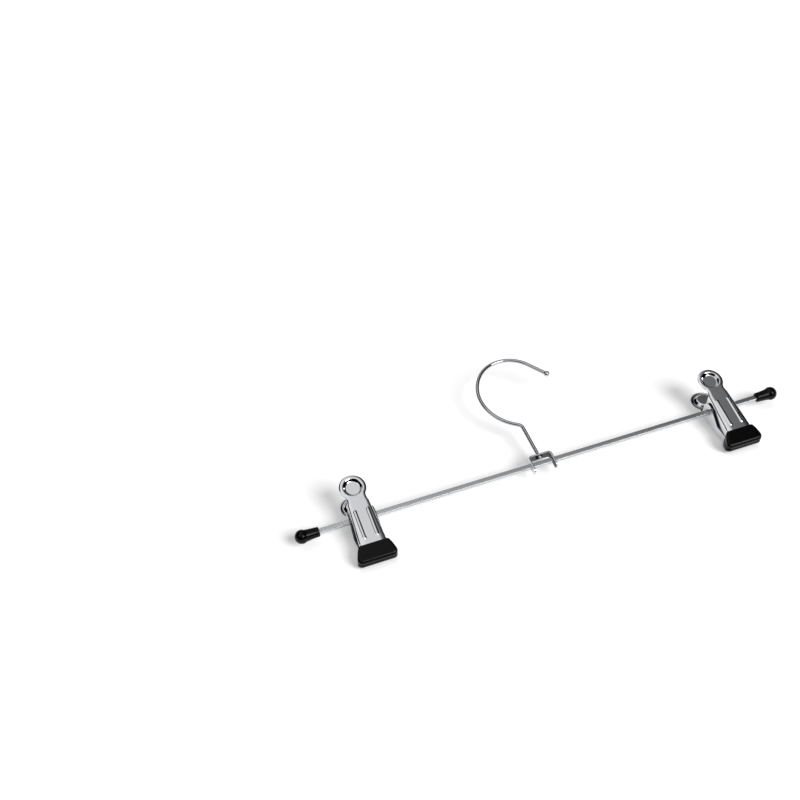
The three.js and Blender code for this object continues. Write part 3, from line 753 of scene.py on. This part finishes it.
def jawSheet(spread):
    angles = np.radians(np.arange(0, jaw["earArc"] + 1, jaw["earStep"]))
    stations = list(jaw["ear"] * np.cos(angles))
    stations += list(np.linspace(stations[-1], jaw["wallEnd"], jaw["rows"])[1:])
    sections = [crossSection(y, spread) for y in stations]
    columns = 2 * len(sections[0][0]) - 1
    inner = sections[0][3]
    body = np.array([
        np.column_stack([mirrored(x, -1), np.full(columns, y), mirrored(z)])
        for y, (x, z, drop, used) in zip(stations, sections)
    ])
    middle = columns // 2
    narrow = slice(middle - inner + 1, middle + inner)

    # Neck between the body's first row and the lower arc of the tab
    start = body[0, narrow]
    drop = mirrored(sections[0][2][:inner])
    edgeX = start[-1, 0]
    endX = tab["radius"] * math.cos(math.radians(tab["arcStart"]))
    arcX = start[:, 0] / edgeX * endX
    arcY = tab["centre"] - np.sqrt(tab["radius"] ** 2 - arcX ** 2)
    bendX, bendY = tab["neck"]
    neck = []
    across = start[:, 0] / edgeX
    bends = np.linspace(0, 1, tab["sideSteps"])[:, None]
    sides = ((1 - bends) ** 2 * [edgeX, jaw["ear"]] + 2 * bends * (1 - bends) * [bendX, bendY]
             + bends ** 2 * [endX, arcY[-1]])
    arc = np.radians(np.linspace(tab["arcStart"], 180 - tab["arcStart"], tab["arcSteps"]))
    arc = np.column_stack([np.cos(arc), np.sin(arc)]) * tab["radius"] + [0, tab["centre"]]
    outline = np.concatenate([sides, sides * [-1, 1], arc])
    for share in np.linspace(0, 1, tab["neckRows"]):
        rest = 1 - share
        sideX = rest * rest * edgeX + 2 * rest * share * bendX + share * share * endX
        sideY = rest * rest * jaw["ear"] + 2 * rest * share * bendY + share * share * arcY[-1]
        straightX = rest * edgeX + share * endX
        straightY = rest * jaw["ear"] + share * arcY[-1]
        x = rest * start[:, 0] + share * arcX + (sideX - straightX) * across
        y = rest * jaw["ear"] + share * arcY + (sideY - straightY)
        z = jawHeight(y) - dishSink(x, y) - drop * (1 - ease(share)) + ribHeight(x, y)
        z -= rimRoll(x, y, outline) * ease(share)
        neck.append(np.column_stack([x, y, z]))
    neck[0] = start
    neck = np.array(neck)

    # Tab: rings round the dish, whose points meet the neck's last row
    lower = np.arctan2(arcY - tab["centre"], arcX)
    spare = np.linspace(lower[-1], lower[0] + 2 * np.pi, tab["steps"])[1:-1]
    turn = np.concatenate([lower, spare])
    radii = np.concatenate([
        np.linspace(tab["radius"], tab["dishEdge"] + 0.1, tab["rimRings"]),
        np.linspace(tab["dishEdge"], tab["dishFloor"], tab["dishRings"]) - 0.05,
        tab["floorRings"],
    ])
    rings = []
    for radius in radii:
        x = radius * np.cos(turn)
        y = tab["centre"] + radius * np.sin(turn)
        z = jawHeight(y) - dishSink(x, y) - rimRoll(x, y, outline)
        rings.append(np.column_stack([x, y, z]))
    rings[0][:len(arcX)] = neck[-1]

    # Tip plate inside the grip
    start = body[-1, narrow]
    edgeX = start[-1, 0]
    plate = []
    for share in np.linspace(0, 1, tip["rows"]):
        y = jaw["wallEnd"] + (tip["end"] - jaw["wallEnd"]) * share
        rounding = max(share - tip["roundFrom"], 0) / (1 - tip["roundFrom"])
        wide = edgeX + (tip["half"] - edgeX) * ease(share / tip["spreadBy"])
        wide -= tip["round"] * (1 - math.sqrt(1 - tip["roundDepth"] * rounding ** 2))
        x = start[:, 0] / edgeX * wide
        z = jawHeight(y) - mirrored(sections[-1][2][:inner]) * (1 - ease(share / tip["flatBy"]))
        plate.append(np.column_stack([x, np.full(len(x), y), z]))
    plate[0] = start

    blocks, faces, count = [], [], 0
    for block, closed in ((body, False), (neck, False), (np.array(rings), True), (np.array(plate), False)):
        rows, wide = block.shape[:2]
        found = gridFaces(rows, wide, count, closed)
        faces += [tuple(face) for face in found]
        blocks.append(block.reshape(-1, 3))
        count += rows * wide
        if closed:
            hub = count
            blocks.append([[0, tab["centre"], float(jawHeight(tab["centre"])) - tab["dishDepth"]]])
            last = count - wide
            faces += [(last + k, last + (k + 1) % wide, hub) for k in range(wide)]
            count += 1
    return np.concatenate(blocks), faces


def upward(points, faces):
    # every face of the sheet looks away from the middle plane, or outward on the walls
    turned = []
    for face in faces:
        corner = [points[k] for k in face[:3]]
        normal = np.cross(corner[1] - corner[0], corner[2] - corner[1])
        middle = np.mean([points[k] for k in face], 0)
        outward = normal[2] if abs(normal[2]) > abs(normal[0]) else normal[0] * middle[0]
        turned.append(face if outward > 0 else face[::-1])
    return turned


def turnedOver(points):
    return points * [-1, 1, -1]


def makeJaw(side, rear):
    points, faces = jawSheet(jaw["rearSpread"] if rear else 0.0)
    faces = upward(points, faces)
    if rear:
        points = turnedOver(points)
    x = jaw["places"][side]
    name = side + ("RearJaw" if rear else "FrontJaw")
    piece = meshPiece(name, points + [x, 0, 0], faces, brightPlate, weld=jaw["weld"])
    # its rims take the dark edge metal as painted shade
    thicken(piece, jaw["sheet"], jaw["edge"])
    settle(piece)
    if rear:
        gap = jaw["barGap"]
        cutter = boxCutter(jaw["cutReach"], bar["width"] / 2 + gap, bar["thickness"] / 2 + gap, x)
    else:
        cutter = roundCutter(jaw["frontHole"] / 2, jaw["cutReach"], "x", x)
    cut(piece, [cutter])
    kind = "rear" if rear else "front"
    finishPiece(piece, f"{side}_clip_{kind}", f"{side}_{kind}_jaw")


# Grips: soft vinyl dipped on the jaw tips

grip = {
    "mouthY": -20.3, "mouthHalf": 8.6, "half": 11.6, "shoulderY": -25.4, "endY": -29.8,
    "corner": 2.6, "mouthCorner": 1.1, "coat": 0.75, "face": 0.15, "topRound": 1.25, "faceRound": 0.6,
    "steps": {"corner": 16, "side": 12, "slope": 5, "mouthCorner": 9, "mouth": 10, "end": 12},
    "faceSteps": 7, "topSteps": 10, "rings": (0.85, 0.6, 0.35, 0.12),
}


def curve(start, bend, finish, steps):
    return [(1 - share) ** 2 * start + 2 * share * (1 - share) * bend + share ** 2 * finish
            for share in np.linspace(0, 1, steps)[1:]]


def gripOutline():
    corner, end, half, steps = grip["corner"], grip["endY"], grip["half"], grip["steps"]
    points = [(half - corner + corner * math.sin(a), end + corner - corner * math.cos(a))
              for a in np.radians(np.linspace(0, 90, steps["corner"]))]
    start, bend = np.array(points[-1]), np.array([half, grip["shoulderY"] - corner / 2])
    finish = np.array([(half + grip["mouthHalf"]) / 2, (grip["shoulderY"] + grip["mouthY"]) / 2])
    points += curve(start, bend, finish, steps["side"])
    mouth = np.array([grip["mouthHalf"], grip["mouthY"]])
    along = (finish - mouth) / np.linalg.norm(finish - mouth)
    small = grip["mouthCorner"]
    first, last = mouth + along * small, mouth - np.array([small, 0])
    points += list(np.linspace(finish, first, steps["slope"])[1:])
    points += curve(first, mouth, last, steps["mouthCorner"])
    points += [(x, grip["mouthY"]) for x in np.linspace(last[0], 0, steps["mouth"])[1:]]
    right = np.array([(x, end) for x in np.linspace(0, half - corner, steps["end"])[:-1]] + points)
    left = right[-2:0:-1] * [-1, 1]
    return np.concatenate([right, left])


def inset(outline, distance):
    along = np.roll(outline, -1, 0) - np.roll(outline, 1, 0)
    along /= np.linalg.norm(along, axis=1)[:, None]
    return outline + distance * np.column_stack([-along[:, 1], along[:, 0]])


def makeGrip(side, rear):
    outline = gripOutline()
    levels = []
    radius = grip["faceRound"]
    for angle in np.radians(np.linspace(90, 0, grip["faceSteps"])):
        loop = inset(outline, radius * (1 - math.cos(angle)))
        low = grip["face"] + radius * (1 - math.sin(angle))
        levels.append(np.column_stack([loop, np.full(len(loop), low)]))
    radius = grip["topRound"]
    for angle in np.radians(np.linspace(0, 90, grip["topSteps"])):
        loop = inset(outline, radius * (1 - math.cos(angle)))
        top = jawHeight(loop[:, 1]) + grip["coat"]
        levels.append(np.column_stack([loop, top - radius * (1 - math.sin(angle))]))
    count = len(outline)
    centre = np.array([0, (grip["mouthY"] + grip["endY"]) / 2])
    bottoms, tops = [], []
    for share in grip["rings"]:
        low = centre + (levels[0][:, :2] - centre) * share
        high = centre + (levels[-1][:, :2] - centre) * share
        bottoms.insert(0, np.column_stack([low, np.full(count, grip["face"])]))
        tops.append(np.column_stack([high, jawHeight(high[:, 1]) + grip["coat"]]))
    levels = bottoms + levels + tops
    points = np.concatenate(levels)
    faces = [list(face) for face in gridFaces(len(levels), count, 0, True)]
    faces.append(list(range(count))[::-1])
    faces.append([count * (len(levels) - 1) + k for k in range(count)])
    if rear:
        points = turnedOver(points)
    name = side + ("RearGrip" if rear else "FrontGrip")
    piece = meshPiece(name, points + [jaw["places"][side], 0, 0], faces, dippedVinyl)
    recalculateNormals(piece)
    kind = "rear" if rear else "front"
    finishPiece(settle(piece), f"{side}_clip_{kind}", f"{side}_{kind}_grip")


# Torsion spring round the bar; its ends push on the backs of the two tabs

spring = {
    "wire": 1.2, "radius": 3.2, "pitch": 1.75, "turns": 5, "legY": 9.0, "gap": 0.3,
    "steps": 40, "legSteps": 6, "sides": 14,
}


def makeSpring(side):
    lift = spring["wire"] / 2 / math.cos(math.atan(jaw["slope"]))
    legZ = float(jawHeight(spring["legY"])) - jaw["sheet"] - spring["gap"] - lift
    reach = math.hypot(spring["legY"], legZ)
    leave = math.acos(spring["radius"] / reach) - math.atan2(legZ, spring["legY"])
    turns = spring["turns"] - leave / math.pi
    length = spring["pitch"] * turns
    shares = np.linspace(0, 1, round(spring["steps"] * turns))
    angle = leave + shares * 2 * math.pi * turns
    curls = np.column_stack([
        length * (shares - 0.5), spring["radius"] * np.cos(angle), spring["radius"] * np.sin(angle)])
    legs = np.linspace(0, 1, spring["legSteps"])[:-1, None]
    rearEnd = np.array([-length / 2, spring["legY"], -legZ])
    frontEnd = np.array([length / 2, spring["legY"], legZ])
    path = np.concatenate([
        rearEnd + (curls[0] - rearEnd) * legs, curls, (frontEnd + (curls[-1] - frontEnd) * legs)[::-1]])
    middle = jaw["places"][side]
    piece = sweep(side + "Spring", path + [middle, 0, 0], np.ones(len(path)),
                  spring["wire"], spring["sides"], springWire)
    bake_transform(piece)
    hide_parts(f"{side}_spring")


for side in jaw["places"]:
    for rear in (False, True):
        makeJaw(side, rear)
        makeGrip(side, rear)
    makeSpring(side)
    print(side, "clip made")
